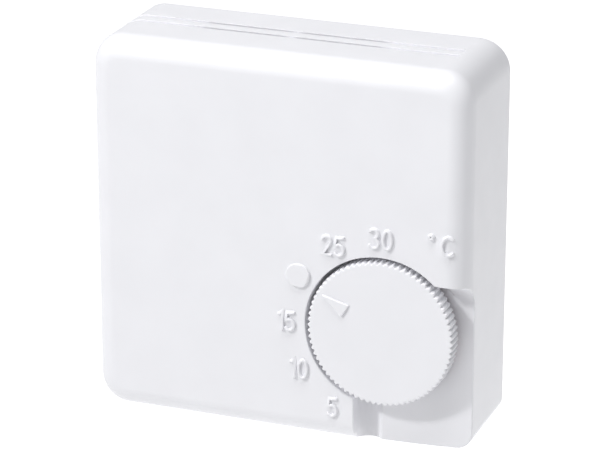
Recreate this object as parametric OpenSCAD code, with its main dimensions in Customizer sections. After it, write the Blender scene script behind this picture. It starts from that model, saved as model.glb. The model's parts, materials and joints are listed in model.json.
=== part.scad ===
// Surface-mounted room thermostat, about 75 mm square.
// X is to the viewer's right, Z is up, the wall is the plane y = 0 and the front faces -Y.
// A "depth" below is a distance in front of the wall, so depth d lies at y = -d.

/* [Case] */
// width and height of the cover
case_w = 75; // [72:0.5:90]
// depth of the cover from the wall to its flat front
case_d = 24.4; // [24:0.1:30]
// wall thickness of the cover
wall = 2; // [1.8:0.1:2.2]
// radius of the cover's corners, seen from the front
corner_r = 6; // [5:0.5:8]
// radius round the front edge
front_r = 4.2; // [3.5:0.1:4.8]
// height of the raised numbers and pointer
relief = 0.5; // [0.3:0.1:0.8]

/* [Knob corner] */
// knob axis, to the right of the centre
knob_x = 20.9; // [19:0.1:21.5]
// knob axis, below the centre (negative)
knob_z = -14.2; // [-16:0.1:-13]
// radius of the knob over its teeth
knob_r = 14.3; // [13:0.1:14.5]
// how far the knob's face stands in front of the cover's
knob_proud = 0.6; // [0:0.1:1]
// gap between the knob and its pocket
pocket_gap = 0.7; // [0.5:0.1:1.2]
// number of grip teeth
teeth = 76; // [40:2:96]
// how far the lower right corner is set back
step_drop = 3.6; // [3.5:0.1:4]
// left wall of the set-back corner, left of the knob axis
step_left = 5.3; // [4:0.1:7]
// upper edge of the set-back corner, above the knob axis
step_up = 10.8; // [9:0.1:12]
// radius of the cove below that upper edge
step_r = 5.4; // [4.5:0.1:5.4]
// how far the set-back floor rounds away at its right side
roll_off = 1.8; // [1:0.1:1.8]

/* [Setting train] */
// clockwise travel from the rest mark to the hot stop, degrees
hot_travel = 60; // [30:5:75]
// travel from the rest mark to the cold stop, degrees
cold_travel = 90; // [60:5:110]
// cam radius at the rest mark
cam_r = 6; // [5.5:0.1:6.2]
// cam rise over one radian
cam_rise = 0.458; // [0.2:0.01:0.5]
// distance from the lever's pivot to the cam axis, along X
lever_arm = 14; // [13:0.5:15]

/* [Switching] */
// height of the bimetal blade's lower face above the centre
blade_z = 24; // [22:0.5:26]
// free end of the blade, left of the centre
blade_end = 29.5; // [27:0.5:30]
// open gap between the contacts at rest
contact_gap = 2; // [1.8:0.1:2.5]

/* [Back plate] */
// thickness of the back plate
plate_t = 2.5; // [2:0.1:3]
// spacing of the wall screws
screw_span = 60; // [60:1:60]
// width of the wall screw slots
slot_w = 4; // [3.5:0.1:4.4]
// length of the wall screw slots
slot_l = 8; // [6:0.5:8]

/* [Hidden] */
$fn = 48;
e = 0.01;
floor_d = case_d - step_drop;      // depth of the set-back floor
well_d = case_d - 5.5;             // bottom of the well under the knob
under_d = well_d - wall;           // its inner face
well_r = knob_r - 1.7;
pocket_r = knob_r + pocket_gap;
step_x = knob_x - step_left;
step_z = knob_z + step_up;
roll_x = step_x - 0.6;             // highest line of the set-back floor
roll_r = (pow(case_w / 2 - roll_x, 2) + pow(roll_off, 2)) / (2 * roll_off);
base_w = case_w - 2 * wall - 0.6;  // back plate, 0.3 mm inside the cover
groove_d = [8.9, 12.2];            // depths of the two vent grooves
groove_w = 1;
spindle_r = 2;
nib_r = 10.6;                      // radius of the stop nib from the knob axis
stop_turn = 12.5;                  // half widths of nib and tab, in degrees there
screw_off = 11;                    // cover screw, left of the knob axis
post_x = knob_x - screw_off;
cam_d = [9, 11.5];                 // depths of the cam and the lever
pivot_x = knob_x - lever_arm;
tip_z = knob_z + cam_r + 0.15;     // lower end of the calibration screw
pivot_z = tip_z + 2.85;
clamp_x = 12;                      // middle of the blade's clamp
blade_t = 0.6;
blade_d = [6, 14];
contact_x = 3 - blade_end;         // the contacts, 3 mm in from the blade's end
fixed_z = blade_z - 0.8 - contact_gap;
cage_x = [-29, -21.4, -13.8, -6.2];
cage_z = -28;
block_d = 5;                       // front of the terminal block's floor

// ---- shared shapes -------------------------------------------------------------------

// a flat shape drawn in (x, z), filled from depth d0 to depth d1
module slab(d0, d1) {
    translate([0, -d0, 0]) rotate([90, 0, 0]) linear_extrude(height = d1 - d0) children();
}

// a box from its low and high corners in x, depth and z
module block(x, d, z) {
    translate([x[0], -d[1], z[0]]) cube([x[1] - x[0], d[1] - d[0], z[1] - z[0]]);
}

// a round bar along the depth
module bar(x, z, r, d0, d1) {
    slab(d0, d1) translate([x, z]) circle(r);
}

// a round bar along Z
module upright(x, d, r, z0, z1) {
    translate([x, -d, z0]) cylinder(r = r, h = z1 - z0);
}

// a square with three round corners and a nearly sharp one at the lower right
module outline(w, r, br) {
    h = w / 2;
    square([w - 2 * r, w], center = true);
    square([w, w - 2 * r], center = true);
    for (c = [[-1, 1], [1, 1], [-1, -1]]) translate(c * (h - r)) circle(r);
    translate([h - r, -h]) difference() {
        square(r);
        translate([r - br, -e]) difference() {
            square(br + e);
            translate([0, br + e]) circle(br);
        }
    }
}

// half of a side view: flat back, rounded front edges
module lip(w, d, rf) {
    translate([-w / 2, -(d - rf)]) square([w, d - rf]);
    translate([-(w / 2 - rf), -d]) square([w - 2 * rf, d]);
    for (s = [-1, 1]) translate([s * (w / 2 - rf), -(d - rf)]) circle(rf);
}

// a square box with round corners (rc) and a round front edge (rf), standing on the wall
module soft_box(w, d, rc, rf) {
    span = w - 2 * rc;
    translate([0, 0, -span / 2]) linear_extrude(height = span) lip(w, d, rf);
    translate([-span / 2, 0, 0]) rotate([90, 0, 90]) linear_extrude(height = span)
        rotate(-90) lip(w, d, rf);
    for (sx = [-1, 1], sz = [-1, 1]) translate([sx * span / 2, 0, sz * span / 2])
        rotate([90, 0, 0]) rotate_extrude() {
            square([rc, d - rf]);
            square([rc - rf, d]);
            translate([rc - rf, d - rf]) intersection() {
                circle(rf);
                square(rf);
            }
        }
}

// the set-back corner seen from the front, grown outwards by g
module set_back(g) {
    far = case_w;
    translate([step_x - g, -far]) square([far, far + step_z + g]);
    translate([knob_x, knob_z]) circle(pocket_r + g);
}

// points of a line of width t that follows the points p
function turn(v) = [-v[1], v[0]] / norm(v);
function side(p, i, t) = p[i] + turn(p[min(i + 1, len(p) - 1)] - p[max(i - 1, 0)]) * t / 2;
function stroke(p, t) = concat([for (i = [0:len(p) - 1]) side(p, i, t)],
                               [for (i = [len(p) - 1:-1:0]) side(p, i, -t)]);
function arc(c, rx, ry, a0, a1, n) =
    [for (i = [0:n]) c + [rx * cos(a0 + (a1 - a0) * i / n), ry * sin(a0 + (a1 - a0) * i / n)]];

// ---- raised numbers, 4.2 mm tall, each drawn about its own middle ----------------------

pen = 0.56;

module line(p) polygon(stroke(p, pen));

module mark_1() {
    line([[0.25, -2.08], [0.25, 2.08]]);
    line([[-0.5, 1.2], [0.25, 1.85]]);
}

module mark_0() difference() {
    polygon(arc([0, 0], 1.1, 2.08, 0, 345, 23));
    polygon(arc([0, 0], 1.1 - pen, 2.08 - pen, 0, 345, 23));
}

module mark_5() {
    line([[0.75, 1.8], [-0.9, 1.8]]);
    line([[-0.65, 1.9], [-0.8, 0.1]]);
    line(arc([-0.1, -0.7], 0.95, 1.1, 130, -140, 14));
}

module mark_2() {
    line(concat(arc([0, 0.95], 0.85, 0.87, 170, -30, 10), [[-0.75, -1.7]]));
    line([[-1.1, -1.8], [0.9, -1.8]]);
}

module mark_3() {
    line(arc([-0.1, 0.95], 0.8, 0.87, 150, -80, 12));
    line(arc([-0.1, -0.85], 0.95, 1.0, 85, -150, 14));
}

module mark_unit() {
    translate([-1.5, 1.45]) difference() {
        circle(0.68);
        circle(0.14);
    }
    translate([1.8, 0]) line(arc([0, 0], 1.2, 1.8, 50, 310, 16));
}

// two marks side by side
module pair(pitch) {
    translate([-pitch / 2, 0]) children(0);
    translate([pitch / 2, 0]) children(1);
}

// places a mark on the front, round the knob
module on_dial(angle) {
    r = knob_r + 4.5;
    slab(case_d - 0.1, case_d + relief)
        translate([knob_x + r * cos(angle), knob_z + r * sin(angle)]) children();
}

module dial_marks() {
    on_dial(240) mark_5();
    on_dial(210) pair(1.9) { mark_1(); mark_0(); }
    on_dial(180) pair(1.75) { mark_1(); mark_5(); }
    on_dial(150) circle(2.3);
    on_dial(120) pair(2.5) { mark_2(); mark_5(); }
    on_dial(90) pair(2.55) { mark_3(); mark_0(); }
    slab(case_d - 0.1, case_d + relief) translate([knob_x + 11.2, knob_z + 19.1]) mark_unit();
}

// ---- outside -------------------------------------------------------------------------

// one vent groove with its through slots, running along the top and down the left side
module vent(d) {
    d0 = d - groove_w / 2;
    d1 = d + groove_w / 2;
    slab(d0, d1) difference() {
        translate([-case_w / 2 - 1, -31.4]) square([case_w / 2 + 32.4, case_w]);
        outline(case_w - 1.2, corner_r - 0.6, 1);
    }
    top = case_w / 2;
    for (x = [[-19.5, -2.7], [-0.7, 16.1]]) {
        block(x, [d0, d1], [top - wall - 1, top + 1]);
        block(x, [d0, d1], [-top - 1, -top + wall + 1]);
        block([-top - 1, -top + wall + 1], [d0, d1], [-x[1], -x[0]]);
    }
}

module front_cover() color("WhiteSmoke") {
    half = case_w / 2;
    difference() {
        union() {
            soft_box(case_w, case_d, corner_r, front_r);
            slab(0, case_d - front_r - 0.2) translate([half - corner_r, -half])
                intersection() {
                    square(corner_r);
                    translate([-half + corner_r, half]) outline(case_w, corner_r, 3);
                }
        }
        // hollow inside, left solid behind the set-back corner
        difference() {
            union() {
                translate([0, 1, 0])
                    soft_box(case_w - 2 * wall, case_d - wall + 1, corner_r - wall, front_r - wall);
                slab(-1, under_d) translate([half - corner_r, -half + wall]) square(corner_r - wall);
            }
            slab(under_d, case_d + 1) set_back(wall);
            // boss for the cover screw
            bar(post_x, knob_z, 4.2, under_d - 1.5, under_d + 1);
        }
        // the set-back corner, less its rounded floor and the cove under the upper edge
        difference() {
            slab(well_d - 0.4, case_d + 1) set_back(0);
            translate([roll_x, -(floor_d - roll_r), -case_w]) 
                cylinder(r = roll_r, h = 2 * case_w, $fn = 240);
            difference() {
                block([knob_x, half + 2], [1, case_d + 2], [step_z - step_r, step_z + 1]);
                translate([0, -case_d, step_z - step_r]) rotate([0, 90, 0])
                    cylinder(r = step_r, h = case_w);
                bar(knob_x, knob_z, pocket_r, 0, case_d + 3);
            }
        }
        // well under the knob
        bar(knob_x, knob_z, well_r, well_d, case_d);
        // half-round channel down the floor, beside the step
        translate([step_x + 2.5, -floor_d - 1.2, -half - 1]) cylinder(r = 2.4, h = half + 1 + knob_z - 6);
        // knob sleeve hole and cover screw hole
        bar(knob_x, knob_z, 4.3, under_d - 1, well_d + 1);
        bar(post_x, knob_z, 1.8, under_d - 3, floor_d + 1);
        bar(post_x, knob_z, 2.9, well_d - 1.4, floor_d + 1);
        for (d = groove_d) vent(d);
    }
    // stop nib under the knob
    slab(well_d - e, well_d + 1.4) translate([knob_x, knob_z - nib_r]) square([2, 3.4], center = true);
    // two tongues that hook into the back plate's rim
    for (z = [-1, 1]) block([-half + wall - 0.1, -half + wall + 2.1], [3.5, 5.2],
                            [z * 20 - 4, z * 20 + 4]);
    dial_marks();
}

// toothed outline of the knob
module grip() {
    n = 2 * teeth;
    polygon([for (i = [0:n - 1])
        let (r = i % 2 == 0 ? knob_r : knob_r - 0.45, a = i * 360 / n) [r * cos(a), r * sin(a)]]);
}

module pointer() {
    rotate(150) polygon([[knob_r - 1.1, 0], [knob_r - 6.6, 1.45], [knob_r - 6.6, -1.45]]);
}

module setting_knob() color("White") translate([knob_x, 0, knob_z]) {
    back = floor_d + 0.4;
    face = case_d + knob_proud;
    difference() {
        union() {
            slab(back, face - 0.3) grip();
            bar(0, 0, knob_r - 0.6, back, face);
        }
        slab(back - 1, case_d - wall) difference() {
            circle(knob_r - 1.8);
            circle(3.5);
        }
        bar(0, 0, spindle_r, back - 1, case_d - wall);
    }
    // sleeve through the cover
    slab(under_d - 2.5, back + e) difference() {
        circle(3.5);
        circle(spindle_r);
    }
    slab(face - e, face + relief) pointer();
}

module cover_screw() color("Silver") translate([post_x, 0, knob_z]) {
    difference() {
        bar(0, 0, 2.6, well_d - 1.4, well_d - 0.1);
        slab(well_d - 0.8, well_d) square([4, 0.7], center = true);
        slab(well_d - 0.8, well_d) square([0.7, 4], center = true);
    }
    bar(0, 0, 1.4, well_d - 11, well_d - 1.4 + e);
}

module wall_slot(x) {
    run = slot_l - slot_w;
    slab(-1, plate_t + 1) translate([x, 0]) {
        square([run, slot_w], center = true);
        for (s = [-1, 1]) translate([s * run / 2, 0]) circle(slot_w / 2);
    }
}

module rear_base() color("Gainsboro") {
    half = base_w / 2;
    rim = 1.5;
    difference() {
        union() {
            slab(0, plate_t) outline(base_w, corner_r - wall, 0.7);
            slab(plate_t - e, plate_t + 4) difference() {
                outline(base_w, corner_r - wall, 0.7);
                outline(base_w - 2 * rim, corner_r - wall - rim, 0.3);
            }
            bar(knob_x, knob_z, 4.2, plate_t - e, 8.2);           // spindle bearing
            bar(post_x, knob_z, 3.4, plate_t - e, under_d - 1.8);  // cover screw post
            bar(pivot_x, pivot_z, 3.1, plate_t - e, 8.2);          // lever pivot post
            block([21, 24.5], [plate_t - e, 12.8], [6, 10]);       // spring post
            block([-24, -17], [plate_t - e, 13], [12, 15.2]);      // magnet shelf
            for (x = [-33.2, -2.7]) block([x, x + 1], [plate_t - e, 7], [-33, -21]);
            block([-22, -4], [plate_t - e, 6.5], [8.5, 9.7]);      // rib over the cable entry
        }
        bar(knob_x, knob_z, spindle_r + 0.05, 1, 9);
        bar(post_x, knob_z, 1.4, under_d - 10.2, under_d);
        bar(pivot_x, pivot_z, 1.5, 1.2, 9);
        block([-22.5, -3.5], [-1, plate_t + 1], [-10, 6]);         // cable entry
        for (s = [-1, 1]) {
            wall_slot(s * screw_span / 2);
            block([-half - 1, -half + rim + 0.3], [3.1, 5.6], [s * 20 - 4.5, s * 20 + 4.5]);
        }
    }
}

// ---- setting train ---------------------------------------------------------------------

// cam outline: radius rises evenly between the two stops
module cam_outline() {
    lo = 90 - cold_travel - 12;
    hi = 90 + hot_travel + 12;
    n = 40;
    rim = [for (i = [0:n]) let (a = lo + (hi - lo) * i / n)
        (cam_r + cam_rise * (a - 90) * PI / 180) * [cos(a), sin(a)]];
    polygon(concat(rim, arc([0, 0], 4.2, 4.2, hi + 12, lo + 348, 20)));
}

module setting_cam() color("Orange") translate([knob_x, 0, knob_z]) {
    bar(0, 0, spindle_r, 1.4, case_d - wall - 0.3);
    slab(cam_d[0], cam_d[1]) cam_outline();
    bar(0, 0, 3.2, cam_d[1] - e, under_d - 3);
}

// a ring clipped inside the knob, with a tab that meets the stop nib
module limit_ring(r0, r1, angle) {
    ring_d = case_d - wall - 1.4;
    translate([knob_x, 0, knob_z]) {
        slab(ring_d, ring_d + 1.4) difference() {
            circle(r1);
            circle(r0);
        }
        slab(well_d + 0.6, ring_d + e) rotate(angle) translate([(r0 + r1) / 2, 0])
            square([r1 - r0, 2], center = true);
    }
}

module min_limit_ring() color("SteelBlue") limit_ring(8.9, 10.4, 270 - cold_travel - stop_turn);
module max_limit_ring() color("Firebrick") limit_ring(10.8, 12.2, 270 + hot_travel + stop_turn);

module cam_lever() color("Khaki") difference() {
    union() {
        slab(cam_d[0], cam_d[1]) {
            translate([pivot_x, pivot_z]) circle(3.2);
            translate([pivot_x, pivot_z - 1.6]) square([lever_arm, 3.2]);
            polygon([[pivot_x - 1.7, pivot_z], [pivot_x + 1.7, pivot_z],
                     [clamp_x + 1.7, blade_z - 2], [clamp_x - 2.5, blade_z - 2]]);
        }
        block([knob_x - 2.3, knob_x + 2.3], [8, 12.5], [pivot_z - 1.6, pivot_z + 1.6]);
        block([clamp_x - 4, clamp_x + 4], blade_d, [blade_z - 3.4, blade_z - 0.35]);
        bar(pivot_x, pivot_z, 3.2, 8.5, 12);
    }
    bar(pivot_x, pivot_z, 1.56, 8, 13);
    upright(knob_x, 10.25, 1.25, tip_z, pivot_z + 3);
    for (d = [8, 12]) upright(clamp_x, d, 1, blade_z - 4, blade_z);
}

module lever_pivot_pin() color("Silver") {
    bar(pivot_x, pivot_z, 1.5, 1.2, 12.8);
}

module lever_spring() color("LightSteelBlue") {
    x0 = pivot_x + 6.7;
    slab(8.2, 12.2) {
        polygon(stroke([[23.6, 5.7], [17.6, 0.9], [x0 + 0.6, -2.0], [x0, pivot_z + 2.5]], 0.4));
        translate([21, 5.55]) square([3.5, 0.42]);
    }
}

module calibration_screw() color("Goldenrod") {
    upright(knob_x, 10.25, 1.2, tip_z + 0.5, pivot_z + 2.6);
    intersection() {
        translate([knob_x, -10.25, tip_z + 1.2]) sphere(1.2);
        upright(knob_x, 10.25, 2, tip_z - 1, tip_z + 1.2);
    }
    difference() {
        upright(knob_x, 10.25, 2, pivot_z + 1.8, pivot_z + 3);
        block([knob_x - 2.5, knob_x + 2.5], [9.95, 10.55], [pivot_z + 2.4, pivot_z + 4]);
    }
}

// ---- switching -------------------------------------------------------------------------

module bimetal_strip() color("DarkGoldenrod") difference() {
    block([-blade_end, clamp_x + 4], blade_d, [blade_z, blade_z + blade_t]);
    for (d = [8, 12]) upright(clamp_x, d, 1.35, blade_z - 1, blade_z + 2);
    block([-16, -2], [9, 11], [blade_z - 1, blade_z + 2]);
}

module bimetal_clamp() color("Silver") difference() {
    block([clamp_x - 3.5, clamp_x + 3.5], blade_d, [blade_z + blade_t + 0.35, blade_z + 1.95]);
    for (d = [8, 12]) upright(clamp_x, d, 1, blade_z, blade_z + 3);
}

module bimetal_rivets() color("DimGray") for (d = [8, 12]) {
    upright(clamp_x, d, 1, blade_z - 3.4, blade_z + 2);
    upright(clamp_x, d, 1.6, blade_z + 1.96, blade_z + 2.7);
}

module moving_contact() color("Silver") {
    upright(contact_x, 10, 1.6, blade_z - 0.8, blade_z - e);
}

module armature() color("DimGray") {
    block([-23, -18.2], [6.5, 13.5], [blade_z - 0.6, blade_z - e]);
}

module snap_magnet() color("DarkSlateGray") {
    upright(-20.5, 10, 2.5, 15.2 + e, blade_z - 3.4);
}

module contact_bracket() color("Peru") {
    block([-31.5, -24.4], [plate_t + 0.1, 13], [17.6, 18.4]);
    block([-31.5, -24.4], [plate_t + 0.1, plate_t + 0.9], [11, 17.7]);
    block([contact_x - 2.2, contact_x + 2.2], [7.8, 12.2], [18.3, fixed_z - 0.8]);
}

module fixed_contact() color("Silver") {
    upright(contact_x, 10, 1.8, fixed_z - 0.79, fixed_z);
}

module feedback_resistor() color("Tan") {
    translate([-12, -10, 19.6]) rotate([0, 90, 0]) cylinder(r = 1.6, h = 9);
}

// one bent lead, along X and then down to the rib on the back plate
module lead(x, dir) {
    translate([dir > 0 ? x : x - 3, -10, 19.6]) rotate([0, 90, 0]) cylinder(r = 0.3, h = 3, $fn = 20);
    upright(x + dir * 3, 10, 0.3, 11, 19.6, $fn = 20);
    translate([x + dir * 3, -10, 11.2]) rotate([90, 0, 0]) mirror([0, 0, 1])
        cylinder(r = 0.3, h = 6.3, $fn = 20);
}

module resistor_leads() color("Silver") {
    lead(-2.99, 1);
    lead(-12.01, -1);
}

// ---- wiring ----------------------------------------------------------------------------

module terminal_block() color("DarkSeaGreen") difference() {
    block([-32.6, -2.6 - 0.4], [plate_t + 0.1, 11], [-33, -22.4]);
    for (x = cage_x) {
        block([x - 3.2, x + 3.2], [block_d - 0.2, 12], [-32, -21]);
    }
    block([-34, -31.5], [0, 7.4], [-34, -20]);
    block([-3.2, 0], [0, 7.4], [-34, -20]);
}

module terminal_cages() color("Gold") for (x = cage_x) difference() {
    block([x - 2.9, x + 2.9], [block_d, 11.4], [cage_z - 3.4, cage_z + 4.6]);
    translate([x, -7.9, cage_z - 5]) cylinder(r = 1.9, h = 12);
    bar(x, cage_z, 1.5, 8, 12);
}

module terminal_screws() color("Silver") for (x = cage_x) {
    bar(x, cage_z, 1.48, 8.8, 12);
    difference() {
        bar(x, cage_z, 2.5, 11.7, 13.2);
        slab(12.5, 14) translate([x, cage_z]) square([6, 0.7], center = true);
    }
}

// a flat brass strip on the back plate, along the points p
module link(p, w) {
    slab(plate_t + 0.3, plate_t + 0.9) polygon(stroke(p, w));
}

// the foot that steps up from a strip to the cage at x
module link_foot(x) {
    z0 = cage_z + 4.6;
    block([x - 1.1, x + 1.1], [plate_t + 0.3, 5.8], [z0 + 1.1, z0 + 1.7]);
    block([x - 1.1, x + 1.1], [5.2, 5.8], [z0 + e, z0 + 1.7]);
}

module live_link() color("Peru") {
    link([[-29, -22.3], [-29, -18], [-25, -12], [-25, 10.98]], 1.6);
    link_foot(cage_x[0]);
}

module load_link() color("Peru") {
    link([[-13.8, -22.3], [-13.8, -16], [-9, -13.4], [0.5, -12.6], [1.6, -9], [1.6, 10]], 2.2);
    link_foot(cage_x[2]);
}

module neutral_link() color("Peru") {
    link([[-6.2, -22.3], [-6.2, -18.6], [-3, -16.6], [3.4, -16.6]], 2.2);
    link_foot(cage_x[3]);
}

// ---- choice of node ----------------------------------------------------------------------

front_cover();
setting_knob();
cover_screw();
rear_base();
setting_cam();
min_limit_ring();
max_limit_ring();
cam_lever();
lever_pivot_pin();
lever_spring();
calibration_screw();
bimetal_strip();
bimetal_clamp();
bimetal_rivets();
moving_contact();
armature();
snap_magnet();
contact_bracket();
fixed_contact();
feedback_resistor();
resistor_leads();
terminal_block();
terminal_cages();
terminal_screws();
live_link();
load_link();
neutral_link();
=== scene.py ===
# Room thermostat: finished surfaces, materials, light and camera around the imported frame.
import json
import math

import bmesh
import bpy
from mathutils import Matrix, Vector
from mathutils.geometry import delaunay_2d_cdt


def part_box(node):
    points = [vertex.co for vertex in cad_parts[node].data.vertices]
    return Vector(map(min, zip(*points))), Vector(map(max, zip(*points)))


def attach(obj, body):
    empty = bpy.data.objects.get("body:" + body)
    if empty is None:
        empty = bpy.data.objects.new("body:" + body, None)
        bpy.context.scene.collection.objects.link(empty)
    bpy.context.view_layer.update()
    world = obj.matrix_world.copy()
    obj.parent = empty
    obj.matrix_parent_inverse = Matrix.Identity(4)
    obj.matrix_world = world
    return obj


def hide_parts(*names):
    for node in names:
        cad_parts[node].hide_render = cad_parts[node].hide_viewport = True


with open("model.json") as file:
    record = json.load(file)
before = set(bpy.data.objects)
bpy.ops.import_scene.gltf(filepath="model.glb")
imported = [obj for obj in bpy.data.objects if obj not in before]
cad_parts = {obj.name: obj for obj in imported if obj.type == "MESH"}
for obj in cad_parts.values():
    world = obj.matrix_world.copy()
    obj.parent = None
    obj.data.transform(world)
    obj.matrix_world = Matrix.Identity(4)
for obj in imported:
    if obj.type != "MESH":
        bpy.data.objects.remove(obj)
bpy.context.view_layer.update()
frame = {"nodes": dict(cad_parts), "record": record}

MM = 0.001
nodes = frame["nodes"]
joints = {j["name"]: j for j in frame["record"]["behaviour"]["joints"]}
knob_x, _, knob_z = joints["knob_turn"]["pos_m"]
knob_low, knob_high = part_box("setting_knob")
cover_low, cover_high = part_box("front_cover")
RELIEF = 0.5 * MM                       # height of raised numbers and pointer
FRONT = -cover_low[1] - RELIEF          # depth of the cover's flat front
FACE = -knob_low[1] - RELIEF
KNOB_R = (knob_high[0] - knob_low[0]) / 2
TEETH = 76


# ---- materials ---------------------------------------------------------------------------

class Nodes:
    """A small helper that adds and links shader nodes in one material."""

    def __init__(self, name):
        self.material = bpy.data.materials.new(name)
        self.material.use_nodes = True
        self.tree = self.material.node_tree
        self.shader = self.tree.nodes["Principled BSDF"]
        self.place = self.add("ShaderNodeTexCoord").outputs["Object"]

    def add(self, kind, **values):
        node = self.tree.nodes.new(kind)
        for key, value in values.items():
            if hasattr(node, key):
                setattr(node, key, value)
            else:
                node.inputs[key.replace("_", " ")].default_value = value
        return node

    def link(self, start, end):
        self.tree.links.new(start, end)

    def noise(self, size_mm, detail=3.0, stretch=None):
        """Noise whose features are about size_mm across; stretch draws them out along an axis."""
        place = self.place
        if stretch:
            mapping = self.add("ShaderNodeMapping")
            mapping.inputs["Scale"].default_value = stretch
            self.link(place, mapping.inputs["Vector"])
            place = mapping.outputs["Vector"]
        node = self.add("ShaderNodeTexNoise", Scale=1 / (size_mm * MM), Detail=detail)
        self.link(place, node.inputs["Vector"])
        return node.outputs["Fac"]

    def ramp(self, fac, low, high, start=0.3, end=0.7):
        node = self.add("ShaderNodeValToRGB")
        node.color_ramp.elements[0].position = start
        node.color_ramp.elements[1].position = end
        node.color_ramp.elements[0].color = low
        node.color_ramp.elements[1].color = high
        self.link(fac, node.inputs["Fac"])
        return node.outputs["Color"]

    def bump(self, fac, height_mm, strength, below=None):
        node = self.add("ShaderNodeBump", Strength=strength, Distance=height_mm * MM)
        self.link(fac, node.inputs["Height"])
        if below:
            self.link(below, node.inputs["Normal"])
        return node.outputs["Normal"]


def shade(color, change):
    return tuple(min(1.0, c * (1 + change)) for c in color) + (1.0,)


def plastic(name, color, rough, grain_mm=0.25, grain=0.25, wave=0.1, mottle=0.012):
    """Moulded plastic: fine spark-eroded grain, faint flow waves and uneven gloss."""
    m = Nodes(name)
    m.link(m.ramp(m.noise(9, 4), shade(color, -mottle), shade(color, mottle)),
           m.shader.inputs["Base Color"])
    spread = m.noise(3.5, 5)
    low, high = rough - 0.05, rough + 0.05
    m.link(m.ramp(spread, (low, low, low, 1), (high, high, high, 1)), m.shader.inputs["Roughness"])
    waves = m.bump(m.noise(6, 2), 0.02, wave)
    m.link(m.bump(m.noise(grain_mm, 2), 0.01, grain, waves), m.shader.inputs["Normal"])
    m.shader.inputs["IOR"].default_value = 1.5
    return m.material


def metal(name, color, rough, line=(1, 1, 1), stain=0.12, grain=0.2):
    """Rolled or plated metal: drawn-out roughness lines and a light tarnish."""
    m = Nodes(name)
    m.shader.inputs["Metallic"].default_value = 1.0
    m.link(m.ramp(m.noise(2.2, 5), shade(color, -stain), shade(color, stain * 0.4)),
           m.shader.inputs["Base Color"])
    low, high = rough * 0.7, rough * 1.35
    lines = m.noise(0.25, 3, line)
    m.link(m.ramp(lines, (low, low, low, 1), (high, high, high, 1)), m.shader.inputs["Roughness"])
    m.link(m.bump(lines, 0.006, grain), m.shader.inputs["Normal"])
    return m.material


def resistor_paint():
    """Tan lacquer with four colour bands round the body."""
    m = Nodes("resistor_paint")
    low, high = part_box("feedback_resistor")
    split = m.add("ShaderNodeSeparateXYZ")
    m.link(m.place, split.inputs["Vector"])
    along = m.add("ShaderNodeMapRange", From_Min=low[0], From_Max=high[0])
    m.link(split.outputs["X"], along.inputs["Value"])
    bands = m.add("ShaderNodeValToRGB")
    ramp = bands.color_ramp
    ramp.interpolation = "CONSTANT"
    tan = (0.55, 0.42, 0.26, 1)
    ramp.elements[0].color = tan
    ramp.elements[1].position = 0.97
    ramp.elements[1].color = tan
    for place, color in ((0.15, (0.05, 0.1, 0.4, 1)), (0.24, tan), (0.34, (0.25, 0.25, 0.26, 1)),
                         (0.43, tan), (0.53, (0.5, 0.05, 0.03, 1)), (0.62, tan),
                         (0.8, (0.6, 0.4, 0.08, 1)), (0.88, tan)):
        ramp.elements.new(place).color = color
    m.link(along.outputs["Result"], bands.inputs["Fac"])
    m.link(bands.outputs["Color"], m.shader.inputs["Base Color"])
    m.link(m.bump(m.noise(0.6, 3), 0.02, 0.3), m.shader.inputs["Normal"])
    m.shader.inputs["Roughness"].default_value = 0.3
    return m.material


WHITE = (0.80, 0.80, 0.83)
zinc = metal("zinc_plate", (0.62, 0.64, 0.66), 0.3)
brass = metal("brass_strip", (0.72, 0.52, 0.22), 0.26, (1, 1, 6))
silver = metal("contact_silver", (0.8, 0.8, 0.78), 0.18)

finish = {
    "front_cover": plastic("shell_white", WHITE, 0.42, 0.22, 0.12),
    "setting_knob": plastic("knob_white", WHITE, 0.40, 0.22, 0.10),
    "rear_base": plastic("base_white", (0.74, 0.74, 0.74), 0.5, 0.4, 0.3),
    "setting_cam": plastic("cam_orange", (0.78, 0.24, 0.04), 0.45),
    "min_limit_ring": plastic("ring_blue", (0.03, 0.1, 0.42), 0.4),
    "max_limit_ring": plastic("ring_red", (0.5, 0.02, 0.02), 0.4),
    "cam_lever": plastic("lever_cream", (0.66, 0.6, 0.45), 0.5),
    "terminal_block": plastic("block_grey", (0.13, 0.135, 0.145), 0.5, 0.35, 0.4),
    "cover_screw": zinc,
    "lever_pivot_pin": zinc,
    "bimetal_clamp": zinc,
    "bimetal_rivets": zinc,
    "terminal_screws": zinc,
    "lever_spring": metal("spring_steel", (0.45, 0.46, 0.48), 0.25, (1, 8, 1)),
    "bimetal_strip": metal("bimetal", (0.5, 0.42, 0.3), 0.35, (1, 14, 14)),
    "armature": metal("soft_iron", (0.25, 0.25, 0.26), 0.45),
    "moving_contact": silver,
    "fixed_contact": silver,
    "snap_magnet": plastic("ferrite", (0.035, 0.035, 0.04), 0.55, 0.5, 0.5, 0.2, 0.2),
    "contact_bracket": brass,
    "calibration_screw": brass,
    "terminal_cages": brass,
    "live_link": brass,
    "load_link": brass,
    "neutral_link": brass,
    "feedback_resistor": resistor_paint(),
    "resistor_leads": metal("tinned_wire", (0.68, 0.68, 0.68), 0.22, (4, 4, 1)),
}
for name, material in finish.items():
    for slot in nodes[name].material_slots:
        slot.material = material


# ---- meshes --------------------------------------------------------------------------------

def piece(name, mesh, material):
    thing = bpy.data.objects.new(name, mesh)
    bpy.context.scene.collection.objects.link(thing)
    mesh.materials.clear()
    mesh.materials.append(material)
    return thing


def edge_angle(edge):
    return edge.calc_face_angle(0.0) if len(edge.link_faces) == 2 else 0.0


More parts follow.
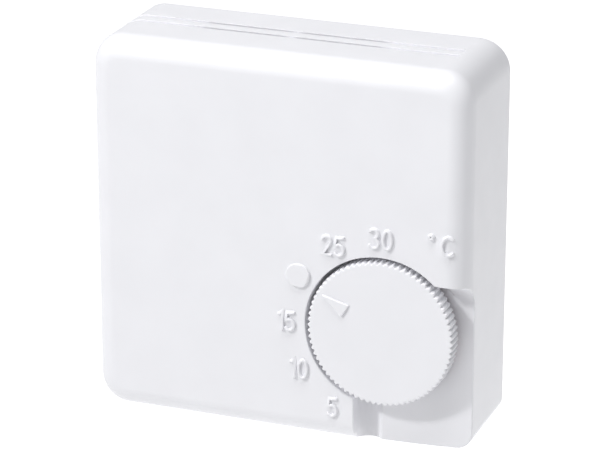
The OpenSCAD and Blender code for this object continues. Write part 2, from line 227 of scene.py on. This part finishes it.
def soften(bm, width, sharp, segments):
    """Rounds every edge that turns by more than sharp degrees."""
    bm.normal_update()
    edges = [e for e in bm.edges if edge_angle(e) > math.radians(sharp)]
    bmesh.ops.bevel(bm, geom=edges, offset=width, offset_type="OFFSET", segments=segments,
                    profile=0.5, affect="EDGES", clamp_overlap=False, miter_outer="ARC")


def finish_mesh(bm, name):
    bm.normal_update()
    for face in bm.faces:
        face.smooth = True
    mesh = bpy.data.meshes.new(name)
    bm.to_mesh(mesh)
    bm.free()
    return mesh


# ---- cover ---------------------------------------------------------------------------------
# The front is one height field over the front view: depth_at(x, z) gives its distance from the
# wall, and the outlines below say where its creases and curves need points. All in millimetres.

HALF = cover_high[0] / MM               # half the width of the cover
FRONT_D = FRONT / MM
KNOB = (knob_x / MM, knob_z / MM)
CORNER_R, SHARP_R = 6.0, 3.0            # corner radii; the lower right one is tighter
EDGE_R = 4.2                            # radius round the front edge
RIM_R = 0.22                            # small radius on the pocket's rim and the step's side
FLOOR_R = 0.3                           # radius where the set-back floor meets the sides
WALL_D = 0.02                           # a step's wall leans out by this much
WALL = 2.0
FLOOR_D = FRONT_D - 3.6                 # highest line of the set-back floor
WELL_D, WELL_R = FRONT_D - 5.5, KNOB_R / MM - 1.7
POCKET_R = KNOB_R / MM + 0.7
STEP = (KNOB[0] - 5.3, KNOB[1] + 10.8)  # corner of the set-back quadrant
ROLL_X, ROLL_OFF = STEP[0] - 0.6, 1.8   # the floor rounds away to the right by this much
ROLL_R = ((HALF - ROLL_X) ** 2 + ROLL_OFF ** 2) / (2 * ROLL_OFF)
ROLL_STEPS = [24 + 1.5 * i for i in range(7)]
COVE_R = 5.4                            # cove between the step's upper edge and the floor
COVE_Z = STEP[1] - COVE_R
CHANNEL_R, CHANNEL_END = 2.4, KNOB[1] - 6
CHANNEL_X = STEP[0] + WALL_D + CHANNEL_R
CHANNEL_D = FLOOR_D + 1.2               # depth of the channel's axis
HOLES = ((KNOB[0], 4.3), (KNOB[0] - 11, 2.9))   # x and radius: spindle and cover screw
DIAL_R = KNOB_R / MM + 4.5
PEN, SLOPE = 0.24, 0.09                 # half width of a raised stroke's top, and its slope
GROOVES = ((8.4, 9.4), (11.7, 12.7))    # depths of the two vent grooves
GROOVE_IN = 0.6
SLOTS = ((-19.5, -2.7), (-0.7, 16.1))
GROOVE_ENDS = (31.4, -31.4)             # along the top, and down the left side


def drop(inside, radius):
    """How far a rounded edge lies below the flat, at a distance inside the edge."""
    inside = max(inside, 0.0)
    if inside >= radius:
        return 0.0
    return radius - math.sqrt(radius ** 2 - (radius - inside) ** 2)


def inset_at(x, z):
    """Distance inside the cover's outline."""
    r = SHARP_R if x > 0 > z else CORNER_R
    a, b = abs(x) - (HALF - r), abs(z) - (HALF - r)
    return r - math.hypot(max(a, 0), max(b, 0)) - min(max(a, b), 0)


def from_pocket(x, z):
    return math.hypot(x - KNOB[0], z - KNOB[1]) - POCKET_R


def from_set_back(x, z):
    """Distance outside the set-back corner, negative inside it."""
    a, b = STEP[0] - x, z - STEP[1]
    quadrant = math.hypot(max(a, 0), max(b, 0)) + min(max(a, b), 0)
    return min(quadrant, from_pocket(x, z))


def arc(cx, cz, rx, rz, start, end, count):
    """Points along an arc of an ellipse, with its angles in degrees."""
    turns = [math.radians(start + (end - start) * i / count) for i in range(count + 1)]
    return [(cx + rx * math.cos(t), cz + rz * math.sin(t)) for t in turns]


GLYPHS = {
    "1": [[(-0.45, 1.25), (0.25, 1.85), (0.25, -1.85)]],
    "0": [arc(0, 0, 0.82, 1.8, 0, 360, 24)],
    "5": [[(0.75, 1.8), (-0.65, 1.8), (-0.8, 0.3)], arc(-0.1, -0.7, 0.95, 1.1, 130, -140, 14)],
    "2": [arc(0, 0.95, 0.85, 0.87, 170, -30, 12) + [(-0.85, -1.8), (0.9, -1.8)]],
    "3": [arc(-0.1, 0.95, 0.8, 0.87, 150, -75, 12), arc(-0.1, -0.85, 0.95, 1.0, 80, -150, 14)],
    "o": [arc(0, 1.45, 0.4, 0.4, 0, 360, 12)],
    "C": [arc(0.3, 0, 1.2, 1.8, 50, 310, 16)],
}
DIAL = ((240, "5", 0), (210, "10", 1.9), (180, "15", 1.75), (120, "25", 2.5), (90, "30", 2.55))
DOT_R = 2.3
REST_TURN = math.radians(150)           # where the dot stands and the pointer aims
GLYPH_REACH = (4, 5)                    # no stroke reaches further from its first point


def dial_strokes():
    """Every raised stroke on the dial, as lines of points in the front view."""
    strokes = []

    def write(text, x, z, pitch):
        for i, letter in enumerate(text):
            shift = (i - (len(text) - 1) / 2) * pitch
            for line in GLYPHS[letter]:
                strokes.append([(x + shift + a, z + b) for a, b in line])

    for angle, text, pitch in DIAL:
        turn = math.radians(angle)
        write(text, KNOB[0] + DIAL_R * math.cos(turn), KNOB[1] + DIAL_R * math.sin(turn), pitch)
    write("oC", KNOB[0] + 11.2, KNOB[1] + 19.1, 3.0)
    return strokes


STROKES = dial_strokes()
DOT = (KNOB[0] + DIAL_R * math.cos(REST_TURN), KNOB[1] + DIAL_R * math.sin(REST_TURN))


def from_line(x, z, line):
    """Shortest distance to a line of points."""
    best = 1e9
    for (ax, az), (bx, bz) in zip(line, line[1:]):
        dx, dz = bx - ax, bz - az
        t = ((x - ax) * dx + (z - az) * dz) / (dx * dx + dz * dz)
        t = min(1.0, max(0.0, t))
        best = min(best, math.hypot(x - ax - t * dx, z - az - t * dz))
    return best


def relief_at(x, z):
    """Height of the raised numbers, unit mark and dot above the flat front."""
    edge = math.hypot(x - DOT[0], z - DOT[1]) - DOT_R
    for line in STROKES:
        if abs(x - line[0][0]) < GLYPH_REACH[0] and abs(z - line[0][1]) < GLYPH_REACH[1]:
            edge = min(edge, from_line(x, z, line) - PEN)
    fall = min(1.0, max(0.0, edge / SLOPE))
    return RELIEF / MM * (0.5 + 0.5 * math.cos(math.pi * fall))


def floor_at(x, z, inset):
    """The set-back floor with its roll-off, channel, cove and the well under the knob."""
    if math.hypot(x - KNOB[0], z - KNOB[1]) < WELL_R - WALL_D / 2:
        return WELL_D
    run = max(0.0, x - ROLL_X)
    skirt = FRONT_D - drop(inset, EDGE_R)
    depth = min(FLOOR_D - ROLL_R + math.sqrt(ROLL_R ** 2 - run ** 2) - drop(inset, FLOOR_R), skirt)
    across = abs(x - CHANNEL_X)
    if z < CHANNEL_END + WALL_D / 2 and (across < CHANNEL_R or x < CHANNEL_X):
        trough = CHANNEL_D - math.sqrt(max(0.0, CHANNEL_R ** 2 - across ** 2))
        depth = min(skirt, trough if x < CHANNEL_X else min(depth, trough))
    if x > KNOB[0] and z > COVE_Z and from_pocket(x, z) > -WALL_D / 2:
        rise = min(COVE_R, z - COVE_Z)
        depth = max(depth, min(FRONT_D - math.sqrt(COVE_R ** 2 - rise ** 2), skirt))
    return depth


def depth_at(x, z):
    inset, rim = inset_at(x, z), from_set_back(x, z)
    if rim < -WALL_D / 2:
        return floor_at(x, z, inset)
    depth = min(FRONT_D - drop(inset, EDGE_R), FRONT_D - drop(rim, RIM_R))
    return depth + relief_at(x, z)


def rounded_steps(radius, count):
    """Insets at which a quarter circle is cut into equal turns."""
    return [radius * (1 - math.cos(math.pi / 2 * i / count)) for i in range(count + 1)]


EDGE_STEPS = rounded_steps(EDGE_R, 12)
RIM_STEPS = [-WALL_D] + rounded_steps(RIM_R, 3)     # foot of the step's wall, then its rounded rim


def cove_steps():
    return [COVE_Z + COVE_R * math.sin(math.radians(a)) for a in (*range(0, 81, 8), 85)]


def cove_crease():
    """Where the cove runs out into the rounded front edge, for insets from the side."""
    return [(HALF - inset, COVE_Z + math.sqrt(COVE_R ** 2 - drop(inset, EDGE_R) ** 2))
            for inset in EDGE_STEPS]


def channel_steps():
    return [CHANNEL_R * math.sin(math.radians(a)) for a in range(-90, 91, 15)]


def outline(inset, marks=False):
    """The cover's outline, moved inwards; marks adds the points that the sides need."""
    step_side = [STEP[0] - s for s in RIM_STEPS]
    channel = [CHANNEL_X + s for s in channel_steps()]
    ends = [x for slot in SLOTS for x in slot]
    step_top = [STEP[1] + s for s in RIM_STEPS]
    top = sorted(ends + [GROOVE_ENDS[0]], reverse=True)
    left = sorted([-x for x in ends] + [GROOVE_ENDS[1]], reverse=True)
    right = sorted(cove_steps() + [cove_crease()[0][1]] + step_top)
    bottom = sorted(ends + step_side + channel + ROLL_STEPS)
    corners = ((1, -1, -90, SHARP_R, right), (1, 1, 0, CORNER_R, top),
               (-1, 1, 90, CORNER_R, left), (-1, -1, 180, CORNER_R, bottom))
    points = []
    for sx, sz, start, corner_r, stops in corners:
        r = max(corner_r - inset, 0)
        reach = HALF - max(inset, corner_r)
        if r > 0:
            points += arc(sx * reach, sz * reach, r, r, start, start + 90, 16 if r > 1 else 4)
        else:
            points.append((sx * reach, sz * reach))
        if marks:
            along_z = sx != sz
            for stop in stops:
                points.append((sx * HALF, stop) if along_z else (stop, sz * HALF))
    return points


def around(line, gap):
    """The closed outline, or the two for a closed line, at a distance from a line of points."""
    closed = math.dist(line[0], line[-1]) < 1e-6
    core = line[:-1] if closed else line
    count = len(core)
    sides = ([], [])
    for i, (x, z) in enumerate(core):
        before = core[(i - 1) % count] if closed or i else core[0]
        after = core[(i + 1) % count] if closed or i < count - 1 else core[-1]
        parts = [Vector((q[0] - p[0], q[1] - p[1])).normalized()
                 for p, q in ((before, (x, z)), ((x, z), after)) if math.dist(p, q) > 1e-6]
        along = (parts[0] + parts[-1]).normalized()
        reach = gap / max(0.35, along.dot(parts[0]))      # longer where the line turns sharply
        for side, sign in zip(sides, (1, -1)):
            side.append((x - sign * reach * along.y, z + sign * reach * along.x))
    if closed:
        return [sides[0], sides[1]]

    def cap(end, start):
        turn = math.degrees(math.atan2(start[1] - end[1], start[0] - end[0]))
        return arc(*end, gap, gap, turn, turn - 180, 8)[1:-1]

    return [sides[0] + cap(core[-1], sides[0][-1]) + sides[1][::-1] + cap(core[0], sides[1][0])]


class Sketch:
    """Points and lines of the front view, for one constrained triangulation."""

    def __init__(self):
        self.points, self.lines = [], []

    def path(self, points, closed=False):
        first = len(self.points)
        self.points += [Vector(p) for p in points]
        count = len(points)
        self.lines += [(first + i, first + i + 1) for i in range(count - 1)]
        if closed:
            self.lines.append((first + count - 1, first))

    def circle(self, x, z, r, count=160):
        self.path(arc(x, z, r, r, 0, 360, count)[:-1], True)

    def faces(self):
        made = delaunay_2d_cdt(self.points, self.lines, [], 0, 1e-5)
        return made[0], made[2]


def front_faces(bm, edge):
    """The whole front: flat, rounded edges, pocket, step, floor, channel and raised numbers."""
    sketch = Sketch()
    sketch.path(edge, True)
    for inset in EDGE_STEPS[1:] + rounded_steps(FLOOR_R, 4)[1:]:
        sketch.path(outline(inset), True)
    far = HALF + 1                      # past the outline
    for rim in RIM_STEPS:
        sketch.circle(*KNOB, POCKET_R + rim)
        sketch.path([(STEP[0] - rim, -far), (STEP[0] - rim, KNOB[1] - POCKET_R * 0.9)])
    for rim in RIM_STEPS:
        sketch.path([(KNOB[0], STEP[1] + rim), (far, STEP[1] + rim)])
    for row in cove_steps():
        sketch.path([(KNOB[0], row), (far, row)])
    sketch.path(cove_crease())
    for x in ROLL_STEPS:
        sketch.path([(x, -far), (x, STEP[1])])
    for r in (WELL_R - WALL_D, WELL_R):
        sketch.circle(*KNOB, r)
    for step in channel_steps():
        sketch.path([(CHANNEL_X + step, -far), (CHANNEL_X + step, CHANNEL_END + WALL_D)])
    for end in (CHANNEL_END, CHANNEL_END + WALL_D):
        sketch.path([(CHANNEL_X - CHANNEL_R, end), (CHANNEL_X + CHANNEL_R, end)])
    for x, r in HOLES:
        sketch.circle(x, KNOB[1], r, 48)
    for part in (0, 1 / 3, 2 / 3, 1, 2.4):
        gap = PEN + SLOPE * part
        sketch.circle(*DOT, DOT_R + SLOPE * part, 64)
        for line in STROKES:
            for loop in around(line, gap):
                sketch.path(loop, True)
    points, faces = sketch.faces()
    verts = [bm.verts.new((x * MM, -depth_at(x, z) * MM, z * MM)) for x, z in points]
    for face in faces:
        x = sum(points[i][0] for i in face) / len(face)
        z = sum(points[i][1] for i in face) / len(face)
        hole = any(math.hypot(x - hx, z - KNOB[1]) < r for hx, r in HOLES)
        if inset_at(x, z) > 1e-4 and not hole:
            bm.faces.new([verts[i] for i in face])
    bmesh.ops.delete(bm, geom=[v for v in bm.verts if not v.link_faces], context="VERTS")


def outward(x, z):
    """Direction straight out of the cover's outline."""
    r = SHARP_R if x > 0 > z else CORNER_R
    reach = HALF - r
    a = x - min(reach, max(-reach, x))
    b = z - min(reach, max(-reach, z))
    size = math.hypot(a, b) or 1.0
    return a / size, b / size


def vent_level(x, z):
    """0 on the plain side, 1 in a vent groove, 2 where a slot goes right through."""
    top, left, bottom = z > HALF - 0.1, x < 0.1 - HALF, z < 0.1 - HALF
    place = -z if left else x
    if (top or left or bottom) and any(a < place < b for a, b in SLOTS):
        return 2
    corner = x < 0 < z
    if (top and x < GROOVE_ENDS[0]) or (left and z > GROOVE_ENDS[1]) or corner:
        return 1
    return 0


SIDE_TOP = WELL_D - 0.9                 # the sides end here, below the lowest part of the front
SIDE_ROWS = [0.0, *GROOVES[0], *GROOVES[1], SIDE_TOP]
LEVEL_IN = (0.0, GROOVE_IN, WALL)       # how far in each vent level lies


def side_faces(bm, edge):
    """The four sides with their vent grooves and slots, and the rim that meets the wall."""
    count = len(edge)
    cache = {}

    def vert(i, row, level):
        key = (i % count, row, level)
        if key not in cache:
            x, z = edge[i % count]
            nx, nz = outward(x, z)
            inset = min(LEVEL_IN[level], SHARP_R if x > 0 > z else WALL)
            cache[key] = bm.verts.new(((x - nx * inset) * MM, -SIDE_ROWS[row] * MM,
                                       (z - nz * inset) * MM))
        return cache[key]

    def quad(*keys):
        corners = []
        for key in keys:
            corner = vert(*key)
            if not corners or (corner.co - corners[-1].co).length > 1e-8:
                corners.append(corner)
        if len(corners) > 2 and (corners[0].co - corners[-1].co).length > 1e-8:
            bm.faces.new(corners)

    rows = len(SIDE_ROWS) - 1
    levels = {}
    for i in range(count):
        (ax, az), (bx, bz) = edge[i], edge[(i + 1) % count]
        vented = vent_level((ax + bx) / 2, (az + bz) / 2)
        for row in range(rows):
            levels[i, row] = vented if row in (1, 3) else 0
    for (i, row), level in levels.items():
        if level < 2:
            quad((i, row, level), (i + 1, row, level), (i + 1, row + 1, level), (i, row + 1, level))
        beside = levels[(i + 1) % count, row]
        if beside != level:
            quad((i + 1, row, level), (i + 1, row, beside), (i + 1, row + 1, beside),
                 (i + 1, row + 1, level))
        above = levels.get((i, row + 1), level)
        if above != level:
            quad((i, row + 1, level), (i + 1, row + 1, level), (i + 1, row + 1, above),
                 (i, row + 1, above))
    for i in range(count):
        quad((i, 0, 0), (i, 0, 2), (i + 1, 0, 2), (i + 1, 0, 0))
    bmesh.ops.recalc_face_normals(bm, faces=bm.faces)


def side_band(bm, edge):
    """Joins the sides to the front's edge, whose depth changes along the outline."""
    low = [bm.verts.new((x * MM, -SIDE_ROWS[-1] * MM, z * MM)) for x, z in edge]
    high = [bm.verts.new((x * MM, -depth_at(x, z) * MM, z * MM)) for x, z in edge]
    for i in range(len(edge)):
        j = (i + 1) % len(edge)
        bm.faces.new((low[i], low[j], high[j], high[i]))


def inner_faces(bm):
    """Takes the inside of the cover from the CAD shape."""
    bm.from_mesh(nodes["front_cover"].data)

    def outside(face):
        x, y, z = (v / MM for v in face.calc_center_median())
        near_step = abs(from_set_back(x, z)) < 1 and -y > WELL_D - WALL + 0.1
        return inset_at(x, z) < WALL - 0.3 or -y > depth_at(x, z) - 0.9 or near_step

    bmesh.ops.delete(bm, geom=[f for f in bm.faces if outside(f)], context="FACES")


def add_mesh(bm, build, *args, rounded=0.0):
    """Builds one part of a piece in its own bmesh and adds it to bm."""
    part = bmesh.new()
    build(part, *args)
    if rounded:
        soften(part, rounded, 50, 2)
    mesh = bpy.data.meshes.new("part")
    part.to_mesh(mesh)
    part.free()
    bm.from_mesh(mesh)
    bpy.data.meshes.remove(mesh)


def make_cover():
    bm = bmesh.new()
    edge = outline(0, marks=True)
    add_mesh(bm, front_faces, edge)
    add_mesh(bm, side_band, edge)
    add_mesh(bm, side_faces, edge, rounded=0.1 * MM)
    bmesh.ops.remove_doubles(bm, verts=bm.verts, dist=1e-6)
    bmesh.ops.recalc_face_normals(bm, faces=bm.faces)
    add_mesh(bm, inner_faces)
    return piece("front_cover_skin", finish_mesh(bm, "front_cover_skin"), finish["front_cover"])


def ring(bm, depth, radius, wave, count):
    """One ring of the knob; wave cuts the grip teeth that deep."""
    points = []
    for i in range(count):
        turn = 2 * math.pi * i / count
        tooth = 0.5 - 0.5 * math.cos(turn * TEETH)
        r = radius - wave * tooth ** 1.3
        points.append(bm.verts.new((knob_x + r * math.cos(turn), -depth,
                                    knob_z + r * math.sin(turn))))
    return points


def bridge(bm, rings):
    """Joins each ring of points to the next by a band of faces."""
    for a, b in zip(rings, rings[1:]):
        for i in range(len(a)):
            j = (i + 1) % len(a)
            bm.faces.new((a[i], a[j], b[j], b[i]))


def make_knob():
    """The knob: grip teeth cut right up to a crisp face, hollow back and sleeve; the raised pointer
    is a piece of its own.
    """
    bm = bmesh.new()
    count = TEETH * 10
    back = (FLOOR_D + 0.4) * MM
    cut = 0.42 * MM                     # depth of the grip teeth
    under, shell_r = FRONT - 2.0 * MM, KNOB_R - 1.8 * MM    # inner sides of the face and the rim
    outer = 3.5 * MM
    profile = [
        (under, outer, 0), (under, shell_r, 0),
        (back + 0.2 * MM, shell_r, 0), (back, KNOB_R - 1.5 * MM, 0),
        (back, KNOB_R - 0.6 * MM, 0), (back + 0.15 * MM, KNOB_R - 0.1 * MM, cut * 0.8),
        (back + 0.4 * MM, KNOB_R, cut), (FACE - 0.35 * MM, KNOB_R, cut),
        (FACE - 0.14 * MM, KNOB_R - 0.04 * MM, cut), (FACE - 0.03 * MM, KNOB_R - 0.14 * MM, cut),
        (FACE, KNOB_R - 0.28 * MM, cut * 0.8), (FACE, KNOB_R - 0.8 * MM, 0),
        (FACE, KNOB_R * 0.6, 0), (FACE, KNOB_R * 0.2, 0),
    ]
    rings = [ring(bm, *row, count) for row in profile]
    bridge(bm, rings)
    bm.faces.new(list(reversed(rings[-1])))
    inner, end = 2.0 * MM, (WELL_D - WALL - 2.5) * MM
    tube = [(under, outer), (end + 0.2 * MM, outer), (end, outer - 0.2 * MM),
            (end, inner + 0.15 * MM), (end + 0.15 * MM, inner), (under, inner)]
    bridge(bm, [ring(bm, d, r, 0, 96) for d, r in tube])
    bmesh.ops.recalc_face_normals(bm, faces=bm.faces)
    return piece("setting_knob_skin", finish_mesh(bm, "setting_knob_skin"),
                 finish["setting_knob"])


def make_pointer():
    """A low raised arrowhead on the knob's face, with softly rounded edges."""
    bm = bmesh.new()
    u = Vector((math.cos(REST_TURN), 0, math.sin(REST_TURN)))
    v = Vector((-math.sin(REST_TURN), 0, math.cos(REST_TURN)))
    sunk = 0.1 * MM                     # the arrowhead starts this far under the face
    lift = RELIEF + sunk - 0.02 * MM
    middle = Vector((knob_x, -FACE + sunk, knob_z))
    tip, tail, half_width = KNOB_R - 1.1 * MM, KNOB_R - 6.6 * MM, 1.45 * MM
    corners = [(tip, 0), (tail, half_width), (tail, -half_width)]
    base = [bm.verts.new(middle + u * a + v * b) for a, b in corners]
    face = bm.faces.new(base)
    lifted = bmesh.ops.extrude_face_region(bm, geom=[face])
    up = [e for e in lifted["geom"] if isinstance(e, bmesh.types.BMVert)]
    bmesh.ops.translate(bm, verts=up, vec=(0, -lift, 0))
    bmesh.ops.recalc_face_normals(bm, faces=bm.faces)
    soften(bm, 0.2 * MM, 30, 3)
    return piece("knob_pointer", finish_mesh(bm, "knob_pointer"), finish["setting_knob"])


def sharpen(thing, angle):
    """Keeps corners above that angle hard in a smoothly shaded mesh."""
    thing.data.set_sharp_from_angle(angle=math.radians(angle))


cover = make_cover()
knob = make_knob()
pointer = make_pointer()
sharpen(cover, 70)
sharpen(knob, 50)
for thing in (cover, knob, pointer):
    even = thing.modifiers.new("even_normals", "WEIGHTED_NORMAL")
    even.keep_sharp = True
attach(cover, "housing")
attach(knob, "knob")
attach(pointer, "knob")
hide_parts("front_cover")
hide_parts("setting_knob")
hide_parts("setting_knob")


# ---- stage ---------------------------------------------------------------------------------

def floor_paper():
    """Pale paper that glows a little, more so behind the thermostat, like a lit sweep."""
    m = Nodes("floor_paper")
    pale = (0.9, 0.9, 0.9)
    m.link(m.ramp(m.noise(60, 2), shade(pale, -0.004), shade(pale, 0.004)),
           m.shader.inputs["Base Color"])
    split = m.add("ShaderNodeSeparateXYZ")
    m.link(m.place, split.inputs["Vector"])
    glow = m.add("ShaderNodeMapRange", From_Min=-0.1, From_Max=0.35, To_Min=0.3, To_Max=0.85)
    m.link(split.outputs["Y"], glow.inputs["Value"])
    m.link(glow.outputs["Result"], m.shader.inputs["Emission Strength"])
    m.shader.inputs["Emission Color"].default_value = (1, 1, 1, 1)
    m.shader.inputs["Roughness"].default_value = 0.9
    return m.material


def make_floor():
    bm = bmesh.new()
    bmesh.ops.create_grid(bm, x_segments=1, y_segments=1, size=6)
    bmesh.ops.translate(bm, verts=bm.verts, vec=(0, 0, cover_low[2] - 0.35))
    piece("floor", finish_mesh(bm, "floor"), floor_paper())


def area_light(name, azimuth, elevation, distance, size, power):
    """A square soft light that faces the thermostat; azimuth 0 is straight in front."""
    a, b = math.radians(azimuth), math.radians(elevation)
    aim = Vector((0, -0.012, 0))
    spot = Vector((math.sin(a) * math.cos(b), -math.cos(a) * math.cos(b), math.sin(b)))
    data = bpy.data.lights.new(name, "AREA")
    data.size = size
    data.energy = power
    lamp = bpy.data.objects.new(name, data)
    bpy.context.scene.collection.objects.link(lamp)
    lamp.location = aim + spot * distance
    lamp.rotation_euler = (-spot).to_track_quat("-Z", "Y").to_euler()


make_floor()
area_light("key", -38, 38, 1.2, 0.12, 6.2)
area_light("fill", -20, 25, 1.6, 1.2, 4.0)
area_light("top", 10, 78, 1.0, 0.5, 6.5)
area_light("side", 100, -50, 0.24, 0.15, 0.13)

world = bpy.data.worlds.new("studio")
bpy.context.scene.world = world
world.use_nodes = True
world.node_tree.nodes["Background"].inputs["Color"].default_value = (0.97, 0.98, 1.0, 1)
world.node_tree.nodes["Background"].inputs["Strength"].default_value = 0.25

scene = bpy.context.scene
scene.view_settings.view_transform = "Standard"


def make_camera():
    """A long lens to the right of and above the thermostat."""
    data = bpy.data.cameras.new("camera")
    data.lens = 185.0
    data.sensor_width = 36
    data.clip_start = 0.01
    camera = bpy.data.objects.new("camera", data)
    scene.collection.objects.link(camera)
    place = (0.1953, -0.5245, 0.2062)
    yaw, pitch = math.radians(20.84), math.radians(20.58)
    turn = Matrix.Rotation(yaw, 4, "Z") @ Matrix.Rotation(math.pi / 2 - pitch, 4, "X")
    camera.matrix_world = Matrix.Translation(place) @ turn
    scene.camera = camera


make_camera()
